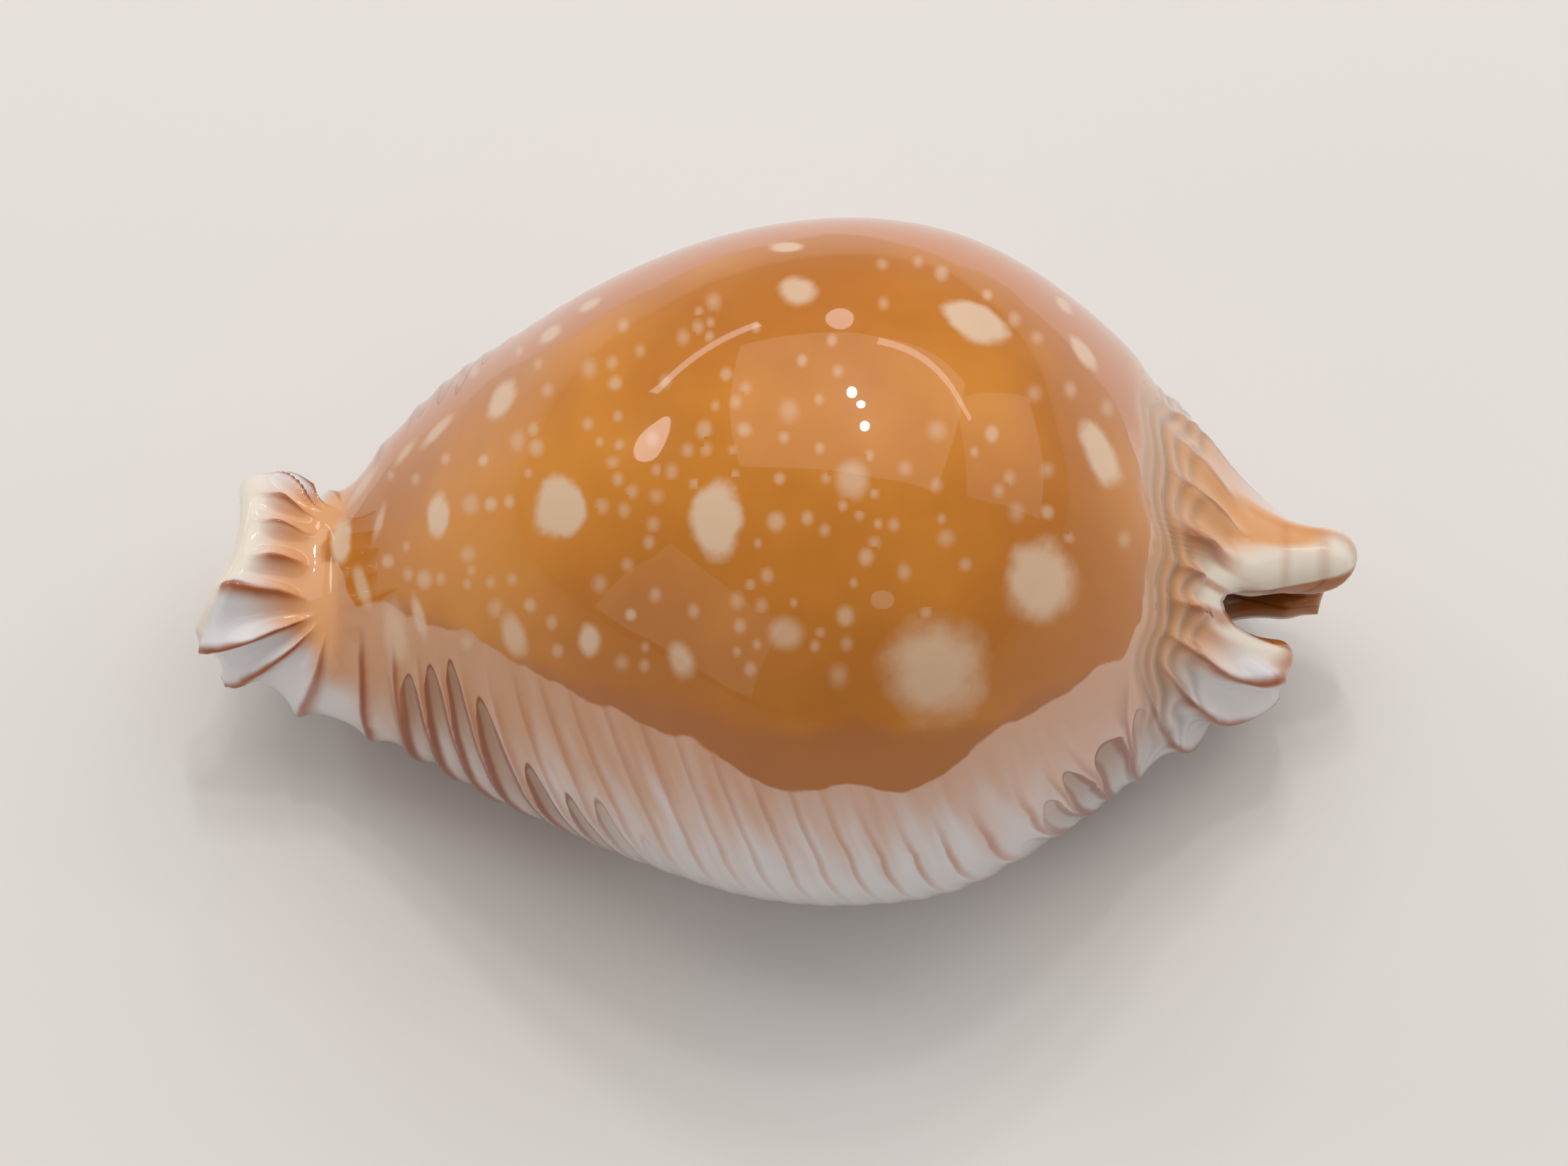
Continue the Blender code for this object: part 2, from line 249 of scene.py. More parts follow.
# The peach of the two necks, weaker on the near side of the posterior one
FRONT_NECK = (0.77, 0.80)
FRONT_NECK_REACH = (2.2, 5.6)
FRONT_NECK_SHARE = (0.22, 0.34)
REAR_NECK = (0.56, 0.62)
REAR_NECK_SHARE = (0.22, 0.40)
NEAR_NECK_FADE = 0.7
NEAR_NECK_PLACE = (0.70, 0.80)
NEAR_NECK_GIRTH = (178, 194)

# The camera, which looks at the shell from the left and above
AZIMUTH = 2.0
ELEVATION = 60.0
DISTANCE = 280.0
LENS = 120.0
SENSOR = 36.0
TARGET = (0.35, -0.8, 12.0)
CLIP_START = 0.01
PHOTO = (2222, 1652)

# A point counts as NO_SPOT radii away where no spot is near, and spots end SPOT_REACH widths from their middle
NO_SPOT = 9.0
SPOT_REACH = 2.2

# Spots in pixels. Large ones have a centre, a width, a height, a tilt in degrees and a softness
LARGE_SPOTS = (
    (513, 831, 20, 52, -20, 0.5), (537, 742, 12, 48, 15, 0.6), (594, 873, 16, 56, -15, 0.5),
    (513, 690, 12, 60, 35, 0.6), (575, 640, 12, 44, 40, 0.6), (620, 610, 14, 60, 45, 0.5),
    (1508, 432, 14, 28, -42, 0.5), (835, 432, 14, 34, 62, 0.5), (780, 473, 18, 34, 50, 0.5),
    (793, 720, 71, 87, 0, 0.2), (1015, 739, 66, 97, 0, 0.25), (621, 730, 31, 64, 0, 0.3),
    (1326, 948, 117, 122, 0, 0.45), (1475, 822, 90, 100, 0, 0.35), (1382, 456, 84, 50, 28, 0.25),
    (1560, 644, 44, 92, -25, 0.3), (1131, 413, 46, 38, 0, 0.4), (1113, 350, 41, 15, 0, 0.4),
    (710, 568, 34, 58, 25, 0.4), (483, 767, 33, 61, 0, 0.3), (1208, 680, 38, 42, 0, 0.6),
    (1113, 897, 40, 40, 0, 0.6), (835, 907, 28, 40, 0, 0.4), (728, 900, 30, 56, -20, 0.5),
    (965, 933, 30, 46, -20, 0.5), (1535, 499, 22, 54, -35, 0.4), (560, 897, 30, 80, -5, 0.6),
)
SMALL_SPOTS = (
    (835, 522), (776, 553), (907, 497), (872, 543), (833, 601), (733, 624), (760, 635), (685, 652),
    (631, 650), (667, 714), (695, 714), (722, 711), (868, 655), (889, 800), (850, 828), (663, 785),
    (998, 609), (1055, 609), (1057, 550), (968, 479), (1011, 428), (1105, 678), (930, 703), (1144, 734),
    (1100, 739), (1118, 581), (549, 795), (601, 821), (702, 862), (751, 857), (782, 882), (881, 938),
    (894, 871), (983, 866), (1044, 851), (662, 910), (1283, 664), (1328, 610), (1252, 430), (1250, 374),
    (1301, 371), (1334, 387), (1399, 418), (1437, 452), (1470, 479), (1517, 552), (1569, 579), (1466, 557),
    (1406, 615), (1484, 666), (1430, 677), (1441, 726), (1484, 726), (1515, 762), (1341, 762), (1593, 764),
    (1281, 811), (1227, 789), (1368, 800), (1198, 874), (1188, 958),
)
SMALL_SIZE = (12, 21)
SMALL_STRETCH = (0.95, 1.3)
SMALL_SOFTNESS = (0.6, 1.0)
SEED = 7

# Faint specks, strewn over an ellipse of the picture with a middle and two half widths, clear of other spots
FAINT_SPOTS = 130
FAINT_SIZE = (9, 15)
FAINT_STRETCH = 1.2
FAINT_SOFTNESS = (0.75, 0.95)
FAINT_MIDDLE = (960, 700)
FAINT_REACH = (470, 260)
FAINT_GAP = 12

# Lamps, placed so that the shell mirrors them at these pixels: (pixel, width, height, radiance)
LAMPS = (
    ((1210, 556), 0.028, 0.034, 45), ((1221, 578), 0.026, 0.026, 45), ((1227, 608), 0.03, 0.036, 45),
    ((927, 622), 0.16, 0.065, 5.0), ((1252, 845), 0.05, 0.06, 1.5), ((1192, 452), 0.06, 0.08, 4.0),
)
LAMP_DISTANCE = 0.5

# Thin lamps that the shell mirrors as arcs: (first pixel, last pixel, radiance)
STRIPS = (((926, 556), (1075, 453), 4.0), ((1240, 488), (1374, 600), 4.0))
STRIP_DEPTH = 0.022
STRIP_AIM = (0, 0, 0.02)

# Large soft lamps: (name, place, width, height, radiance, tint), in metres
CARDS = (
    ("ceiling", (0.05, 0.35, 0.75), 1.0, 0.8, 1.2, (1.0, 0.98, 0.95)),
    ("front_card", (-0.48, -0.48, 0.22), 0.5, 0.4, 0.55, (1, 1, 1)),
    ("rear_card", (0.52, 0.20, 0.30), 0.4, 0.4, 0.8, (1, 1, 1)),
)
CARD_AIM = (0, 0, 0.012)
WORLD_TINT = (1.0, 0.98, 0.96, 1)
WORLD_STRENGTH = 0.42
FLOOR_SIZE = 3.0
FLOOR_ROUGHNESS = 0.7


def along(knots, place):
    """The smooth curve through the knots, at each place."""
    at, value = np.array(knots, float).T
    slope = np.gradient(value, at)
    place = np.clip(place, at[0], at[-1])
    i = np.clip(np.searchsorted(at, place) - 1, 0, len(at) - 2)
    step = at[i + 1] - at[i]
    f = (place - at[i]) / step
    rise = f * f * (3 - 2 * f)
    return (
        value[i] + (value[i + 1] - value[i]) * rise
        + slope[i] * step * f * (1 - f) ** 2
        - slope[i + 1] * step * f * f * (1 - f)
    )


def ease(value, low, high):
    """A smooth step from 0 at low to 1 at high."""
    f = np.clip((value - low) / (high - low), 0, 1)
    return f * f * (3 - 2 * f)


def window(value, rise, fall):
    """1 between two smooth steps, the first up and the second down."""
    return ease(value, *rise) * (1 - ease(value, *fall))


def blend(first, last, amount):
    """From the first value, where the amount is 0, to the last one, where it is 1."""
    return first + (last - first) * amount


def powered(wave, roundness):
    """A sine or cosine bent so that its circle becomes a squarer one."""
    return np.sign(wave) * np.abs(wave) ** (2 / roundness)


def lip_girth(place, side):
    """The girth at which a lip ends, from the bottom of the section. Side is -1 for the left lip."""
    edge = along(APERTURE_OFFSET, place) + side * APERTURE * along(APERTURE_GAP, place) / 2
    off = edge - along(KEEL_OFFSET, place)
    width = WIDTH * np.where(off < 0, along(LEFT_WIDTH, place), along(RIGHT_WIDTH, place))
    share = np.clip(np.abs(off) / width, 0, MOST_SHARE)
    angle = np.degrees(np.arcsin(share ** (along(ROUNDNESS_BELOW, place) / 2)))
    return -np.sign(off) * angle


def skin(place, girth, wall=0.0):
    """Points of the outer surface, or of the inner one where a wall thickness is given."""
    turn = np.radians(girth)
    low = np.cos(turn) > 0
    roundness = np.where(low, along(ROUNDNESS_BELOW, place), along(ROUNDNESS_ABOVE, place))
    across, down = powered(np.sin(turn), roundness), powered(np.cos(turn), roundness)
    width = WIDTH * np.where(across > 0, along(LEFT_WIDTH, place), along(RIGHT_WIDTH, place))
    profiles = (MARGIN_HEIGHT, BASE_HEIGHT, BACK_HEIGHT)
    margin, base, back = ((HEIGHT + SETTLE) * along(profile, place) for profile in profiles)
    reach = np.where(low, margin - base, back - margin)
    width = np.maximum(width - wall, NARROWEST * width)
    reach = np.maximum(reach - wall, NARROWEST * reach)
    y = along(KEEL_OFFSET, place) - width * across
    return np.stack((HALF * place, y, margin - reach * down), axis=-1)


def spread(step, steps, length, rounding):
    """The distance of a grid line from the first edge. Lines are close together where the edges are round."""
    near = rounding * (1 - np.cos(np.pi / 2 * np.minimum(step / EDGE_STEPS, 1)))
    far = rounding * (1 - np.cos(np.pi / 2 * np.minimum((steps - step) / EDGE_STEPS, 1)))
    middle = np.clip((step - EDGE_STEPS) / (steps - 2 * EDGE_STEPS), 0, 1)
    middle = middle - CROWDING * np.sin(2 * np.pi * middle) / (2 * np.pi)
    return near + (length - 2 * rounding) * middle + rounding - far


def girth_length(place):
    """Roughly how far it is around the section."""
    width = WIDTH * (along(LEFT_WIDTH, place) + along(RIGHT_WIDTH, place)) / 2
    height = HEIGHT * (along(BACK_HEIGHT, place) - along(BASE_HEIGHT, place)) / 2
    return ROUND_FACTOR * (width + height)


def rim_slant(rim, girth, around):
    """How much nearer a slanting rim is than it looks along the shell."""
    slope = HALF * (along(rim, girth + 1) - along(rim, girth - 1)) / (2 * around / 360)
    return 1 / np.sqrt(1 + slope ** 2)


def column_place(share, start, stop):
    """The place of a grid line. Lines are straight across the body, and slant only towards a slanting rim."""
    (front, rear), (first, last) = BODY, BODY_LINES
    before = start + (front - start) * share / first
    across = front + (rear - front) * (share - first) / (last - first)
    after = rear + (stop - rear) * (share - last) / (1 - last)
    return np.where(share < first, before, np.where(share > last, after, across))


def sheet_grid(columns, rows):
    """Place and girth on a grid over the sheet, and how far each point is from a rim and from a lip."""
    i, j = np.meshgrid(np.arange(columns + 1), np.arange(rows + 1), indexing="ij")
    girth = 360 * j / rows
    for _ in range(SETTLING_STEPS):
        start, stop = along(ANTERIOR_RIM, girth), along(POSTERIOR_RIM, girth)
        length = HALF * (stop - start)
        place = column_place(spread(i, columns, length, FRONT_RIM / 2) / length, start, stop)
        from_rim = (place - start) * HALF
        left, right = lip_girth(place, -1), 360 + lip_girth(place, 1)
        around = girth_length(place)
        from_lip = spread(j, rows, around, LIP / 2)
        girth = (girth + left + (right - left) * from_lip / around) / 2
    near_start = from_rim * rim_slant(ANTERIOR_RIM, girth, around)
    near_stop = (length - from_rim) * rim_slant(POSTERIOR_RIM, girth, around)
    return place, girth, np.minimum(near_start, near_stop), np.minimum(from_lip, around - from_lip)


def thickness(place, girth):
    """The wall, thin over the back, thick at the lips and middling at the rims."""
    low = ease(np.abs(girth - 180), *THICKENING)
    end = ease(np.abs(place), *ENDS)
    rim = np.where(place > 0, REAR_RIM, FRONT_RIM)
    return blend(blend(WALL, LIP, low), rim, end) + HORN_THICKENING * horn(place, girth)


def rounded(distance, radius):
    """How far the two faces have opened at this distance from an edge, so that the edge is a half round."""
    return np.sqrt(1 - (1 - np.clip(distance / radius, 0, 1)) ** 2)


def from_back(girth):
    """The share at a girth."""
    return np.abs(girth - 180) / 180


def fan_start(place):
    """How far the nearer end's fan starts from the middle of the shell, in mm."""
    return np.where(place > 0, REAR_FAN, FRONT_FAN)


def fan_middle(place):
    """The share at which the nearer end's fan has its middle."""
    return np.where(place > 0, REAR_MIDDLE, FRONT_MIDDLE)


def rib_number(place, girth):
    """Counts the ribs. They cross the sides, lean towards the anterior end, and fan out around each end."""
    share, middle = from_back(girth), fan_middle(place)
    lean = LEAN / HALF * (LEVEL - share) * ease(place, *LEANING) * (1 - ease(place, *UPRIGHT))
    side = along(RIB_AT, np.clip(place, -FRONT_FAN / HALF, REAR_FAN / HALF) + lean)
    beyond = np.maximum(HALF * np.abs(place) - fan_start(place), 0)
    angle = np.degrees(np.arctan2(beyond, FAN_GIRTH * np.maximum(share - middle, TINY)))
    above = FAN_GIRTH * np.maximum(middle - share, 0) * (beyond > 0)
    front = along(FRONT_TURN, angle) + above / FRONT_SPACING
    rear = along(REAR_TURN, angle) + above / REAR_SPACING
    return side + np.where(place > 0, rear, -front)


def horn(place, girth):
    """The smooth part of the horn at the posterior end."""
    return ease(place, *HORN_PLACE) * window(girth, *HORN_GIRTH)


def rim_width(place, girth):
    """How wide the smooth rim is, as a share of its full width. It is narrow on the left of both ends."""
    rear, front = ease(girth, *WIDE_REAR_RIM), ease(girth, *WIDE_FRONT_RIM)
    return blend(NARROW_RIM, 1, np.where(place > 0, rear, front))


def crest(number, sharpness):
    """The section of a rib: 1 on its narrow crest, and hollow between two ribs."""
    off = np.hypot(number - np.round(number), CREST_ROUNDING)
    return np.maximum((1 - 2 * off) / (1 - 2 * CREST_ROUNDING), 0) ** sharpness


def fan_reach(place, girth):
    """How far a point is from the middle of its fan, in mm."""
    beyond = HALF * np.abs(place) - fan_start(place)
    return np.hypot(np.maximum(beyond, 0), FAN_GIRTH * np.maximum(from_back(girth) - fan_middle(place), 0))


def fanned(place, girth, near, far):
    """1 where the ribs of a fan are full, and 0 at its middle and on the horn."""
    rear = ease(place, *REAR_START) * (1 - FAR_LOWERING * ease(girth, *FAR_REAR))
    front = ease(HALF * -place - FRONT_FAN, *FRONT_START)
    full = ease(fan_reach(place, girth), near, far)
    return np.where(place > 0, rear, front) * full * (1 - horn(place, girth))


def rib_height(place, girth, from_rim):
    """How far a rib stands out: most at the ends, little on the middle of the flank, none on the back."""
    share, length = from_back(girth), HALF * np.abs(place)
    near_end = ease(length, FLAT_MIDDLE, fan_start(place))
    margin = blend(FLANK_RIB, MARGIN_RIB, near_end * np.where(place > 0, REAR_MARGIN, 1))
    top = RIB_TOP + RIB_TOP_AT_ENDS * near_end + RIB_TOP_REARWARD * ease(place, *REARWARD)
    flank = margin * ease(share, top, RIB_FULL)
    tooth = TOOTH * ease(share, *TEETH)
    end = END_RIB * fanned(place, girth, *END_RIB_REACH)
    fade = ease(from_rim / rim_width(place, girth), *RIM_BAND)
    ridge = crest(rib_number(place, girth), blend(*SHARPNESS, near_end))
    return np.maximum(np.maximum(flank, tooth), end) * fade * ridge


def fold_depth(place, girth):
    """Fine folds across the back where the body meets the posterior neck."""
    wobble = sum(size * np.sin(np.radians(girth) * count + phase) for size, count, phase in FOLD_WAVES)
    total = np.zeros_like(place)
    for at, depth in FOLDS:
        total += depth * np.exp(-((place - at - wobble) / FOLD_WIDTH) ** 2)
    return total * (1 - ease(from_back(girth), *FOLDS_END))


def outer_grid(columns, rows):
    """The numbers of the grid's points."""
    return np.arange((columns + 1) * (rows + 1)).reshape(columns + 1, rows + 1)


def grid_quads(grid):
    """The four corners of each cell."""
    return np.stack((grid[:-1, :-1], grid[1:, :-1], grid[1:, 1:], grid[:-1, 1:]), -1).reshape(-1, 4)


def point_normals(points, faces):
    """The mean direction of the faces around each point."""
    corners = points[faces]
    facing = np.cross(corners[:, 2] - corners[:, 0], corners[:, 3] - corners[:, 1])
    total = np.zeros_like(points)
    for k in range(4):
        np.add.at(total, faces[:, k], facing)
    return total / np.maximum(np.linalg.norm(total, axis=1, keepdims=True), TINY)


def shell_surfaces(place, girth, from_rim, from_lip):
    """Outer and inner points on the whole grid, in millimetres, standing on the two lips."""
    outside = skin(place, girth)
    inside = skin(place, girth, thickness(place, girth))
    middle, half = (outside + inside) / 2, (outside - inside) / 2
    radius = np.linalg.norm(half, axis=-1)
    opening = (rounded(from_rim, radius) * rounded(from_lip, radius))[..., None]
    outer = outer_grid(*np.array(place.shape) - 1)
    inner = outer.copy()
    inner[1:-1, 1:-1] += outer.size
    points = np.zeros((2 * outer.size, 3))
    points[inner] = middle - half * opening
    points[outer] = middle + half * opening
    faces = np.concatenate((grid_quads(outer), grid_quads(inner)[:, ::-1]))
    ribs = rib_height(place, girth, from_rim)
    height = np.zeros(len(points))
    height[inner] = ribs * (1 - ease(from_lip, 0, TOOTH_DEPTH))
    height[outer] = ribs - fold_depth(place, girth)
    points += point_normals(points, faces) * height[:, None]
    points[:, 2] = np.maximum(points[:, 2] - SETTLE, 0)
    shown = points[np.unique(faces), :2]
    points[:, :2] -= (shown.min(axis=0) + shown.max(axis=0)) / 2
    return points[outer], points[inner]


def coarser(steps, step):
    """The grid lines that the inner face keeps: all near an edge, and every so many between."""
    inside = range(INNER_EDGE, steps - INNER_EDGE, step)
    return [*range(INNER_EDGE), *inside, *range(steps - INNER_EDGE, steps + 1)]


def inner_cell(column, row, columns, rows, index):
    """The corners of one cell of the inner face. Along an edge it takes in every point of the outer face."""
    (left, right), (low, high) = column, row
    bottom = range(left, right) if low == 0 else (left,)
    ahead = range(low, high) if right == columns else (low,)
    top = range(right, left, -1) if high == rows else (right,)
    behind = range(high, low, -1) if left == 0 else (high,)
    corners = [(i, low) for i in bottom] + [(right, j) for j in ahead]
    corners += [(i, high) for i in top] + [(left, j) for j in behind]
    return [index[c] for c in reversed(corners)]


def inner_faces(columns, rows, outer):
    """Faces of the inner side, the grid points that they add, and their index."""
    kept_columns, kept_rows = coarser(columns, INNER_COLUMN_STEP), coarser(rows, INNER_ROW_STEP)
    index = {(i, j): int(outer[i, j]) for i in range(columns + 1) for j in (0, rows)}
    index.update({(i, j): int(outer[i, j]) for i in (0, columns) for j in range(rows + 1)})
    added = []
    for i in kept_columns[1:-1]:
        for j in kept_rows[1:-1]:
            index[i, j] = outer.size + len(added)
            added.append((i, j))
    faces = []
    for column in zip(kept_columns, kept_columns[1:]):
        for row in zip(kept_rows, kept_rows[1:]):
            faces.append(inner_cell(column, row, columns, rows, index))
    return faces, tuple(np.array(added).T)


def camera_axes():
    """The way back to the camera, the picture's right and its up."""
    a, e = np.radians(AZIMUTH), np.radians(ELEVATION)
    back = np.array([np.sin(a) * np.cos(e), -np.cos(a) * np.cos(e), np.sin(e)])
    right = np.array([np.cos(a), np.sin(a), 0.0])
    return back, right, np.cross(back, right)


def ray(pixel):
    """Where the camera is, in millimetres, and the direction in which it sees a pixel."""
    back, right, up = camera_axes()
    focal = LENS / SENSOR * PHOTO[0]
    across, down = pixel[0] - PHOTO[0] / 2, pixel[1] - PHOTO[1] / 2
    way = right * across / focal - up * down / focal - back
    return np.array(TARGET) + back * DISTANCE, way / np.linalg.norm(way)


def pixel_spot(tree, pixel, width, height, tilt, softness):
    """A spot seen at a pixel: its centre, its two measuring directions, its softness and its reach."""
    _, right, up = camera_axes()
    eye, way = ray(pixel)
    centre = tree.ray_cast(Vector(eye), Vector(way))[0]
    if centre is None:
        return None
    scale = DISTANCE / (LENS / SENSOR * PHOTO[0])
    turn = np.radians(tilt)
    across = (np.cos(turn) * right - np.sin(turn) * up) / (width * scale / 2)
    along_it = (np.sin(turn) * right + np.cos(turn) * up) / (height * scale / 2)
    return np.array(centre), across, along_it, softness, SPOT_REACH * max(width, height) * scale


def faint_spots(tree, draw):
    """Specks at random places, left out where they would come near another spot."""
    taken = [(x, y, max(width, height) / 2) for x, y, width, height, *_ in LARGE_SPOTS]
    taken += [(x, y, SMALL_SIZE[1] / 2) for x, y in SMALL_SPOTS]
    found = []
    for _ in range(FAINT_SPOTS):
        turn, out = draw.uniform(0, 2 * np.pi), np.sqrt(draw.uniform(0, 1))
        x = FAINT_MIDDLE[0] + FAINT_REACH[0] * out * np.cos(turn)
        y = FAINT_MIDDLE[1] + FAINT_REACH[1] * out * np.sin(turn)
        size, softness = draw.uniform(*FAINT_SIZE), draw.uniform(*FAINT_SOFTNESS)
        if all(np.hypot(x - a, y - b) > radius + FAINT_GAP for a, b, radius in taken):
            found.append(pixel_spot(tree, (x, y), size, FAINT_STRETCH * size, 0, softness))
            taken.append((x, y, size / 2))
    return found


def spots(tree):
    """All spots, the large ones first."""
    draw = np.random.default_rng(SEED)
    found = [pixel_spot(tree, (x, y), *shape) for x, y, *shape in LARGE_SPOTS]
    for pixel in SMALL_SPOTS:
        width = draw.uniform(*SMALL_SIZE)
        height = width * draw.uniform(*SMALL_STRETCH)
        found.append(pixel_spot(tree, pixel, width, height, 0, draw.uniform(*SMALL_SOFTNESS)))
    return [spot for spot in found + faint_spots(tree, draw) if spot]


def spot_coordinates(corners, found):
    """For each corner of each face: where it lies from the middle of the nearest spot, in spot radii."""
    centre = corners.mean(axis=1)
    best = np.full(len(corners), NO_SPOT)
    result = np.full((*corners.shape[:2], 3), NO_SPOT)
    for middle, across, along_it, softness, reach in found:
        off = centre - middle
        near = np.linalg.norm(off, axis=1) < reach
        size = np.hypot(off @ across, off @ along_it)
        take = near & (size < best)
        best[take] = size[take]
        away = corners[take] - middle
        result[take] = np.stack((away @ across, away @ along_it, np.full(away.shape[:2], softness)), -1)
    return result


def streaks(place, share, number, far):
    """How strong the tan streak under each rib is."""
    vary = 0.5 + 0.5 * np.sin(STREAK_TURN * np.round(number))
    near_end = ease(HALF * np.abs(place) / fan_start(place), *STREAK_ENDS)
    top = (
        STREAK_TOP + STREAK_TOP_VARIES * vary + STREAK_TOP_REARWARD * ease(place, *REARWARD)
        + STREAK_TOP_FRONT * ease(-place, *STREAK_FRONT) + STREAK_TOP_FAR * far
    )
    strength = blend(*STREAK_STRENGTH, near_end) * blend(WEAKEST_STREAK, 1, vary)
    low = LOW_FADE * ease(share, *LOW_SHARE) * (1 - ease(np.abs(place), *MIDDLE))
    return strength * ease(share, top, top + STREAK_RISE) * (1 - low)


def lines(place, share, fan, beyond):
    """How dark the thin line on each rib's crest is."""
    front = ease(-place, *FRONT_LINES) * ease(share, *FRONT_LINE_TOP) * (1 - beyond)
    rear = window(place, *REAR_LINES) * ease(share, *REAR_LINE_TOP)
    return np.maximum(FAN_LINE * fan, MARGIN_LINE * np.maximum(front, rear))


def necks(place, girth, share):
    """Where the two necks are peach."""
    front = ease(-place, *FRONT_NECK) * (1 - ease(fan_reach(place, girth), *FRONT_NECK_REACH))
    front *= 1 - ease(share, *FRONT_NECK_SHARE)
    near_side = ease(place, *NEAR_NECK_PLACE) * (1 - ease(girth, *NEAR_NECK_GIRTH))
    rear = ease(place, *REAR_NECK) * (1 - ease(share, *REAR_NECK_SHARE)) * (1 - NEAR_NECK_FADE * near_side)
    return np.maximum(front, rear)


def markings_and_painted_light(place, girth, from_rim):
    """What the material reads at each point of the outer face."""
    share, number = from_back(girth), rib_number(place, girth)
    millimetres = girth_length(place) / 360
    from_left, from_right = girth - along(LEFT_EDGE, place), along(RIGHT_EDGE, place) - girth
    ends = np.minimum((place - ORANGE_ENDS[0]) * FRONT_FADE, ORANGE_ENDS[1] - place) * HALF
    fan = fanned(place, girth, *FAN_COLOUR_REACH)
    beyond = ease(HALF * np.abs(place) - fan_start(place), *BEYOND)
    far = ease(girth, *FAR)
    # Fingers of painted dark reflection between the ribs: where they start, and where they are shown
    finger_top = along(FINGER_TOP, place) + FINGER_VARIES * np.sin(FINGER_TURN * np.floor(number))
    dark = np.where(place > 0, ease(place, *REAR_FINGERS), window(-place, *FRONT_FINGERS))
    return {
        "rib": number,
        "share": share,
        "place": place,
        "girth": girth,
        "orange": np.minimum(np.minimum(from_left, from_right) * millimetres, ends),
        "rim": 1 - ease(from_rim / rim_width(place, girth), *RIM_COLOUR),
        "second": from_left * millimetres - along(SECOND_EDGE, place),
        "stain": streaks(place, share, number, far) * (1 - beyond),
        # Where the fingers of painted dark reflection lie, and how strongly they show
        "finger": share - finger_top + FINGER_LOWER_FAR * far,
        "dark": dark * (1 - FAR_FINGER_FADE * far) * (1 - beyond),
        "line": lines(place, share, fan, beyond),
        "fan": fan,
        "neck": necks(place, girth, share),
        "fold": fold_depth(place, girth) / DEEPEST_FOLD,
        "horn": horn(place, girth),
        "tip": np.where(place > 0, 1 - horn(place, girth), 1 - ease(girth, *FRONT_TIPS)),
        "right": window(girth, *FAR_TAN_GIRTH) * window(place, *FAR_TAN_PLACE),
        "pale": ease(-place, *PALE_PLACE) * ease(share, *PALE_SHARE),
    }


def write_floats(mesh, name, values):
    """One number at each point of the mesh."""
    layer = mesh.attributes.new(name, "FLOAT", "POINT")
    layer.data.foreach_set("value", np.asarray(values, np.float32).ravel())


def fine_shell():
    """The whole shell as one closed mesh, with its markings, painted shade and painted reflection as
    attributes.
    """
    place, girth, from_rim, from_lip = sheet_grid(COLUMNS, ROWS)
    outside, inside = shell_surfaces(place, girth, from_rim, from_lip)
    outer = outer_grid(COLUMNS, ROWS)
    quads = grid_quads(outer)
    inner, added = inner_faces(COLUMNS, ROWS, outer)
    points = np.concatenate((outside.reshape(-1, 3), inside[added]))
    mesh = bpy.data.meshes.new("cowrie_shell")
    mesh.from_pydata((points * MM).tolist(), [], quads.tolist() + inner)
    mesh.shade_smooth()

    for name, values in markings_and_painted_light(place, girth, from_rim).items():
        write_floats(mesh, name, np.concatenate((values.ravel(), values[added])))
    hidden = np.concatenate((np.zeros(outer.size), np.ones(len(added[0]))))
    write_floats(mesh, "inside", hidden)

    tree = BVHTree.FromPolygons(points[:outer.size].tolist(), quads.tolist())
    coordinates = np.full((len(mesh.loops), 3), NO_SPOT)
    coordinates[:quads.size] = spot_coordinates(points[quads], spots(tree)).reshape(-1, 3)
    layer = mesh.attributes.new("spot", "FLOAT_VECTOR", "CORNER")
    layer.data.foreach_set("vector", coordinates.astype(np.float32).ravel())

    shell = bpy.data.objects.new("cowrie_shell", mesh)
    bpy.context.scene.collection.objects.link(shell)
    return shell, tree


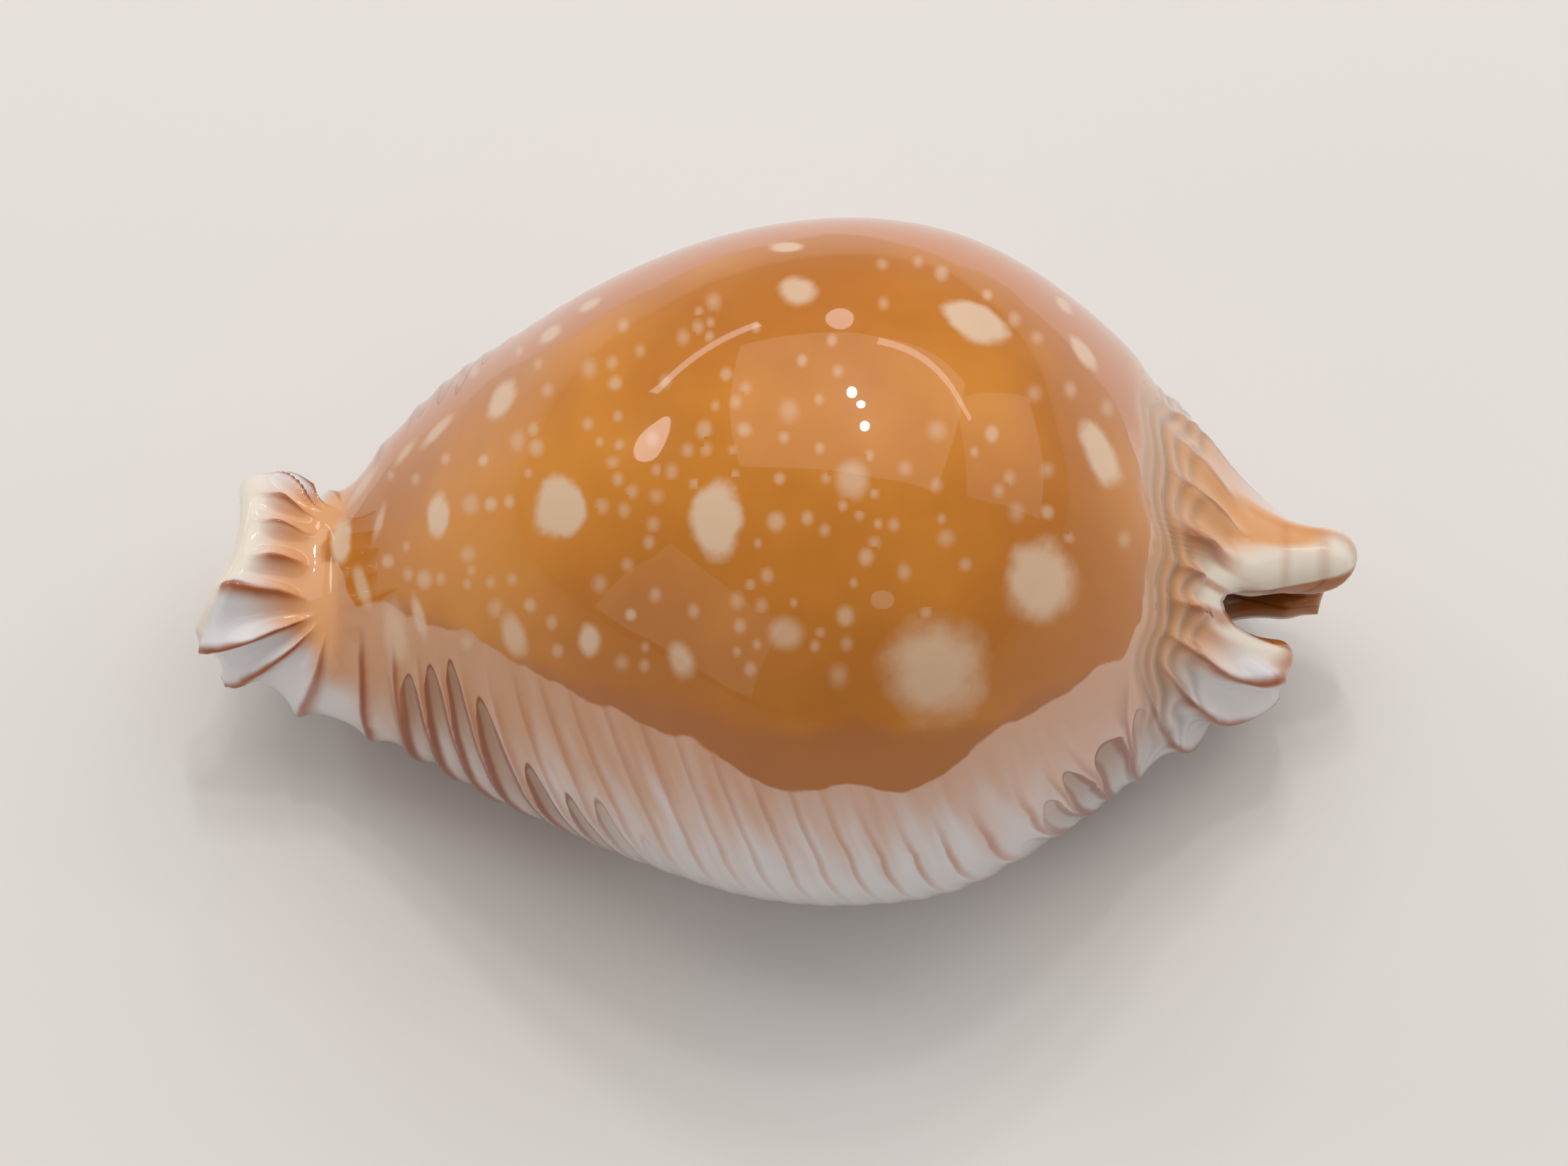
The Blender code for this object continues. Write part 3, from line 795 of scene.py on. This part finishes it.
class Tree:
    """Makes one material's nodes in a few words. A value is a number, a colour or another node's output."""

    def __init__(self, material):
        self.nodes = material.node_tree.nodes
        self.links = material.node_tree.links

    def put(self, socket, value):
        """Links another node's output to a socket, or writes a plain value there."""
        if isinstance(value, bpy.types.NodeSocket):
            self.links.new(value, socket)
        else:
            socket.default_value = value

    def math(self, operation, *values):
        node = self.nodes.new("ShaderNodeMath")
        node.operation = operation
        for socket, value in zip(node.inputs, values):
            self.put(socket, value)
        return node.outputs[0]

    def ease(self, value, low, high, start=0.0, stop=1.0):
        """From start where the value is low to stop where it is high."""
        node = self.nodes.new("ShaderNodeMapRange")
        node.interpolation_type = "SMOOTHSTEP"
        for name, given in (("Value", value), ("From Min", low), ("From Max", high)):
            self.put(node.inputs[name], given)
        node.inputs["To Min"].default_value = start
        node.inputs["To Max"].default_value = stop
        return node.outputs["Result"]

    def mix(self, amount, first, second):
        """The first colour, covered by the second one by an amount from 0 to 1."""
        node = self.nodes.new("ShaderNodeMix")
        node.data_type = "RGBA"
        for name, given in (("Factor_Float", amount), ("A_Color", first), ("B_Color", second)):
            self.put(next(socket for socket in node.inputs if socket.identifier == name), given)
        return next(socket for socket in node.outputs if socket.identifier == "Result_Color")

    def read(self, name):
        node = self.nodes.new("ShaderNodeAttribute")
        node.attribute_name = name
        return node.outputs["Fac"]

    def read_vector(self, name):
        node = self.nodes.new("ShaderNodeAttribute")
        node.attribute_name = name
        return node.outputs["Vector"]

    def joined(self, x, y, z=0.0):
        node = self.nodes.new("ShaderNodeCombineXYZ")
        for socket, value in zip(node.inputs, (x, y, z)):
            self.put(socket, value)
        return node.outputs[0]

    def parts(self, vector):
        node = self.nodes.new("ShaderNodeSeparateXYZ")
        self.put(node.inputs[0], vector)
        return node.outputs

    def noise(self, where, scale, detail=2.0):
        """Clouds from 0 to 1, at a number of waves a metre in the shell's own space."""
        node = self.nodes.new("ShaderNodeTexNoise")
        self.put(node.inputs["Vector"], where)
        node.inputs["Scale"].default_value = scale
        node.inputs["Detail"].default_value = detail
        return node.outputs["Fac"]

    def uneven(self, where, scale, detail, amount):
        """Clouds about 0."""
        return self.math("MULTIPLY", self.math("SUBTRACT", self.noise(where, scale, detail), 0.5), amount)

    def product(self, first, second):
        return self.math("MULTIPLY", first, second)

    def place(self):
        return self.nodes.new("ShaderNodeTexCoord").outputs["Object"]


def colour(red, green, blue):
    """A colour for the shader, from its screen values by the sRGB rule."""
    screen = np.array((red, green, blue)) / 255
    return (*(np.where(screen > 0.04045, ((screen + 0.055) / 1.055) ** 2.4, screen / 12.92)), 1.0)


DARK_ORANGE = colour(188, 110, 16)
LIGHT_ORANGE = colour(218, 140, 42)
EDGE_ORANGE = colour(174, 102, 42)
SPOT = colour(228, 198, 168)
PINK = colour(216, 168, 140)
TAN_PINK = colour(206, 150, 108)
FAR_TAN = colour(200, 126, 80)
PEACH = colour(226, 164, 110)
WHITE = colour(228, 225, 226)
CREAM = colour(234, 222, 206)
TAN = colour(184, 108, 54)
RED_BROWN = colour(140, 62, 14)
GREY_BROWN = colour(140, 100, 66)
INSIDE = colour(226, 206, 204)
LEDGE = colour(176, 106, 46)
FLOOR = colour(226, 222, 218)
POLISH = {
    "Roughness": 0.3,
    "Coat Weight": 1.0,
    "Coat Roughness": 0.03,
    "Coat IOR": 1.42,
    "Specular IOR Level": 0.12,
}

# Noise in the material: waves a metre, detail, and amount where it shifts something
RIB_WAVER = (420, 2.0, 0.16)
SECOND_WAVER = (190, 2.0, 3.0)
SPOT_WAVER = (500, 4.0, 0.9)
ORANGE_WAVER = (260, 3.0, 2.2)
CLOUDS = (60, 4.0)
CLOUD_STEPS = (0.35, 0.68)

# Where colours start and end across a rib, in ribs from its crest
LINE_STEPS = (0.02, 0.13)
SHADE_RISE = (-0.09, 0.0)
SHADE_FALL = (0.0, 0.26)
STREAK_FALL = (0.03, 0.26)
TIP_STEPS = (0.05, 0.30)
STREAK_MOST = 0.85
TIP_MOST = 0.8

# Fingers of painted dark reflection: the gap beside one at its top and lower down, how fast it widens from its
# blunt top, and where its fill and its dark edge start and end, with how strong the two are. The edge is
# partly the ribs' own brown lines and partly painted shade along them
FINGER_TAPER = (0.0, 0.20)
FINGER_GAPS = (0.22, 0.04)
FINGER_RISE = 50.0
BLUNTNESS = 1.5
SIDE_STEEPNESS = 0.7
FILL_STEPS = (0.0, 0.12)
FILL_FADE = (0.02, 0.22)
FILL_STRENGTH = (0.70, 0.15)
EDGE_RISE = (-0.22, -0.04)
EDGE_FALL = (0.10, 0.42)
EDGE_MOST = 0.9

# The margin: how its streaks run, where it turns white lower down, and where it is tan towards the front
STREAK_STRETCH = (1.3, 5.0)
WHITE_STREAKS = 0.20
WHITE_STEPS = (0.46, 0.66)
TAN_STEPS = (-0.1, 0.7)
TAN_MOST = 0.9
TANNED_WHITE = 0.65
PALE_MOST = 0.8

# The orange's two edges, in mm, and a spot's strength from a crisp one to a soft one
ORANGE_EDGE = (-0.12, 0.12)
SECOND_STEPS = (-0.7, 0.7)
SECOND_MOST = 0.75
SOFTNESS_STEPS = (0.2, 0.9)
SPOT_STRENGTH = (0.88, 0.38)

# Bands across the horn: (place, half width, strength). Lines in the canals, in degrees of girth: half the way
# from one to the next, and half the width of one
HORN_BANDS = ((0.856, 0.016, 0.25), (0.925, 0.022, 0.3))
CANAL_LINES = 7.0
CANAL_LINE_WIDTH = 2.0
CANAL_LINE_MOST = 0.7
CANAL_STEPS = (0.70, 0.80)
# How grey-brown the folds turn at their deepest: the colour darkens with their depth
FOLD_MOST = 0.75


def rib_phase(t, where):
    """How far a point is from the nearest rib's crest, in ribs and with its sign. The ribs waver a little."""
    number = t.math("ADD", t.read("rib"), t.uneven(where, *RIB_WAVER))
    return t.math("SUBTRACT", t.math("FRACT", t.math("ADD", number, 0.5)), 0.5)


def fan_lines_and_shade(t, phase, off):
    """The dark line on the ribs, and below those of the two ends a brown that is partly their own colour and
    partly painted shade.
    """
    line = t.product(t.ease(off, *LINE_STEPS, 1.0, 0.0), t.read("line"))
    below = t.product(t.product(phase, t.math("SIGN", t.read("place"))), -1.0)
    # Painted shade on the lower side of each end rib, mixed with the ribs' own brown
    shade = t.product(t.ease(below, *SHADE_RISE), t.ease(below, *SHADE_FALL, 1.0, 0.0))
    return line, t.product(shade, t.read("fan"))


def reflection_fingers(t, off):
    """Painted dark reflection as grey-brown fingers between two ribs, with a thin dark edge and a round end
    towards the back.
    """
    above = t.read("finger")
    gap = t.ease(above, *FINGER_TAPER, *FINGER_GAPS)
    side = t.math("DIVIDE", t.math("SUBTRACT", off, gap), t.math("SUBTRACT", 0.5, gap))
    blunt = t.math("POWER", t.math("SUBTRACT", 1.0, side), 2.0)
    rise = t.math("SUBTRACT", t.product(above, FINGER_RISE), t.product(blunt, BLUNTNESS))
    within = t.math("MINIMUM", t.product(side, SIDE_STEEPNESS), rise)
    reflection_fill = t.product(t.ease(within, *FILL_STEPS), t.ease(above, *FILL_FADE, *FILL_STRENGTH))
    edge = t.product(t.ease(within, *EDGE_RISE), t.ease(within, *EDGE_FALL, EDGE_MOST, 0.0))
    return t.product(reflection_fill, t.read("dark")), t.product(edge, t.read("dark"))


def margin_colour(t):
    """Pink under the orange, tan towards the anterior end and white lower down, in streaks along the ribs."""
    along_ribs, down = STREAK_STRETCH
    across = t.joined(t.product(t.read("rib"), along_ribs), t.product(t.read("share"), down))
    streaky = t.noise(across, 1.0)
    low = t.ease(t.math("ADD", t.read("share"), t.product(streaky, WHITE_STREAKS)), *WHITE_STEPS)
    anterior = t.ease(t.math("ADD", t.read("place"), streaky), *TAN_STEPS, TAN_MOST, 0.0)
    high = t.mix(t.read("right"), t.mix(anterior, PINK, TAN_PINK), FAR_TAN)
    plain = t.mix(t.product(low, t.ease(anterior, 0.0, 1.0, 1.0, TANNED_WHITE)), high, WHITE)
    plain = t.mix(t.product(t.read("pale"), PALE_MOST), plain, WHITE)
    plain = t.mix(t.read("fan"), plain, WHITE)
    return t.mix(t.read("neck"), plain, PEACH)


def orange_colour(t, where):
    """The clouded orange of the back, with a duller second edge low on the left side."""
    clouds = t.ease(t.noise(where, *CLOUDS), *CLOUD_STEPS)
    plain = t.mix(clouds, DARK_ORANGE, LIGHT_ORANGE)
    from_edge = t.math("ADD", t.read("second"), t.uneven(where, *SECOND_WAVER))
    return t.mix(t.ease(from_edge, *SECOND_STEPS, SECOND_MOST, 0.0), plain, EDGE_ORANGE)


def spot_amount(t, where):
    """How much a spot covers the orange: more in a crisp one than in a soft one, with an uneven edge."""
    x, y, softness = t.parts(t.read_vector("spot"))
    size = t.math("SQRT", t.math("ADD", t.product(x, x), t.product(y, y)))
    size = t.math("ADD", size, t.uneven(where, *SPOT_WAVER))
    edge = t.ease(size, t.math("SUBTRACT", 1.0, softness), t.math("ADD", 1.0, softness))
    strength = t.ease(softness, *SOFTNESS_STEPS, *SPOT_STRENGTH)
    return t.product(t.math("SUBTRACT", 1.0, edge), strength)


def orange_amount(t, where):
    """1 on the back and 0 beyond its scalloped edge."""
    return t.ease(t.math("ADD", t.read("orange"), t.uneven(where, *ORANGE_WAVER)), *ORANGE_EDGE)


def horn_bands(t):
    """Two faint bands across the horn's face."""
    first, second = (
        t.ease(t.math("ABSOLUTE", t.math("SUBTRACT", t.read("place"), at)), 0.0, width, strength, 0.0)
        for at, width, strength in HORN_BANDS
    )
    return t.product(t.math("MAXIMUM", first, second), t.read("horn"))


def inside_colour(t):
    """Pale within, and a lined tan in the two canals."""
    from_line = t.math("PINGPONG", t.read("girth"), CANAL_LINES)
    canal = t.mix(t.ease(from_line, 0.0, CANAL_LINE_WIDTH, CANAL_LINE_MOST, 0.0), LEDGE, RED_BROWN)
    return t.mix(t.ease(t.math("ABSOLUTE", t.read("place")), *CANAL_STEPS), INSIDE, canal)


def shell_colour(t):
    """All markings, with the painted shade and painted reflection, laid over one another from the margin up to
    the spots.
    """
    where = t.place()
    phase = rib_phase(t, where)
    off = t.math("ABSOLUTE", phase)
    streak = t.product(t.ease(phase, *SHADE_RISE), t.ease(phase, *STREAK_FALL, STREAK_MOST, 0.0))
    line, shade = fan_lines_and_shade(t, phase, off)
    reflection_fill, edge = reflection_fingers(t, off)
    tip = t.product(t.ease(off, *TIP_STEPS, TIP_MOST, 0.0), t.read("tip"))
    result = t.mix(t.product(streak, t.read("stain")), margin_colour(t), TAN)
    # Painted dark reflection between the ribs; its dark edge is the ribs' brown lines with painted shade along
    # them
    result = t.mix(reflection_fill, result, GREY_BROWN)
    result = t.mix(edge, result, RED_BROWN)
    # Painted shade on the lower side of the end ribs, together with their own brown
    result = t.mix(shade, result, TAN)
    result = t.mix(line, result, RED_BROWN)
    # The folds darken with their depth
    result = t.mix(t.product(t.read("fold"), FOLD_MOST), result, GREY_BROWN)
    result = t.mix(t.read("rim"), result, t.mix(tip, CREAM, TAN))
    result = t.mix(horn_bands(t), result, TAN)
    result = t.mix(orange_amount(t, where), result, orange_colour(t, where))
    result = t.mix(spot_amount(t, where), result, SPOT)
    return t.mix(t.read("inside"), result, inside_colour(t))


def polished_shell():
    """The shell's colours under a clear polish."""
    material = bpy.data.materials.new("polished_shell")
    material.use_nodes = True
    t = Tree(material)
    shader = t.nodes["Principled BSDF"]
    t.put(shader.inputs["Base Color"], shell_colour(t))
    for name, value in POLISH.items():
        shader.inputs[name].default_value = value
    return material


def flat_material(name, tint, roughness):
    """One colour and one roughness all over."""
    material = bpy.data.materials.new(name)
    material.use_nodes = True
    shader = material.node_tree.nodes["Principled BSDF"]
    shader.inputs["Base Color"].default_value = tint
    shader.inputs["Roughness"].default_value = roughness
    return material


def studio_floor():
    """A plain pale floor that the shell stands on."""
    bpy.ops.mesh.primitive_plane_add(size=FLOOR_SIZE, location=(0, 0, 0))
    floor = bpy.context.object
    floor.name = "studio_floor"
    floor.data.materials.append(flat_material("studio_floor", FLOOR, FLOOR_ROUGHNESS))


def add_camera():
    """The photo's camera."""
    back, right, up = camera_axes()
    lens = bpy.data.cameras.new("camera")
    lens.lens = LENS
    lens.sensor_width = SENSOR
    lens.clip_start = CLIP_START
    camera = bpy.data.objects.new("camera", lens)
    turn = Matrix((right, up, back)).transposed().to_4x4()
    camera.matrix_world = Matrix.Translation(Vector((np.array(TARGET) + back * DISTANCE) * MM)) @ turn
    bpy.context.scene.collection.objects.link(camera)
    bpy.context.scene.camera = camera


def area_lamp(name, place, aim, width, height, power, tint=(1, 1, 1), across=None, shape="RECTANGLE"):
    """A lamp at a place, facing a point. Across is the direction of its width, level if none is given."""
    lamp = bpy.data.lights.new(name, "AREA")
    lamp.shape = shape
    lamp.size, lamp.size_y = width, height
    lamp.energy = power
    lamp.color = tint
    item = bpy.data.objects.new(name, lamp)
    back = (Vector(place) - Vector(aim)).normalized()
    across = (Vector(across) if across else Vector((0, 0, 1)).cross(back)).normalized()
    up = back.cross(across).normalized()
    turn = Matrix((up.cross(back), up, back)).transposed().to_4x4()
    item.matrix_world = Matrix.Translation(Vector(place)) @ turn
    bpy.context.scene.collection.objects.link(item)


def mirrored(tree, pixel):
    """Where the shell is at a pixel, in metres, and the direction that it mirrors there."""
    eye, way = ray(pixel)
    spot, normal = tree.ray_cast(Vector(eye), Vector(way))[:2]
    return spot * MM, Vector(way).reflect(normal)


def strip_lamp(name, tree, first, last, radiance):
    """A thin lamp that the shell mirrors as an arc from one pixel to another."""
    seen = (mirrored(tree, first), mirrored(tree, last))
    start, stop = (spot + way * LAMP_DISTANCE for spot, way in seen)
    length = (stop - start).length
    power = lamp_power(radiance, length, STRIP_DEPTH)
    area_lamp(name, (start + stop) / 2, STRIP_AIM, length, STRIP_DEPTH, power, across=stop - start)


def lamp_power(radiance, width, height):
    """The power in watts that gives a flat lamp its radiance."""
    return np.pi * radiance * width * height


def studio_light(tree):
    """A pale room, three large soft lamps, and the small ones that the shell mirrors as glints."""
    world = bpy.data.worlds.new("studio")
    world.use_nodes = True
    background = world.node_tree.nodes["Background"]
    background.inputs["Color"].default_value = WORLD_TINT
    background.inputs["Strength"].default_value = WORLD_STRENGTH
    bpy.context.scene.world = world
    for name, place, width, height, radiance, tint in CARDS:
        area_lamp(name, place, CARD_AIM, width, height, lamp_power(radiance, width, height), tint)
    for k, (pixel, width, height, radiance) in enumerate(LAMPS):
        spot, way = mirrored(tree, pixel)
        power = lamp_power(radiance, width, height)
        area_lamp(f"lamp_{k}", spot + way * LAMP_DISTANCE, spot, width, height, power, shape="ELLIPSE")
    for k, (first, last, radiance) in enumerate(STRIPS):
        strip_lamp(f"strip_{k}", tree, first, last, radiance)


shell, surface = fine_shell()
shell.data.materials.append(polished_shell())
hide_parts("shell")
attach(shell, "root")
studio_floor()
add_camera()
studio_light(surface)
bpy.context.scene.view_settings.view_transform = "Standard"
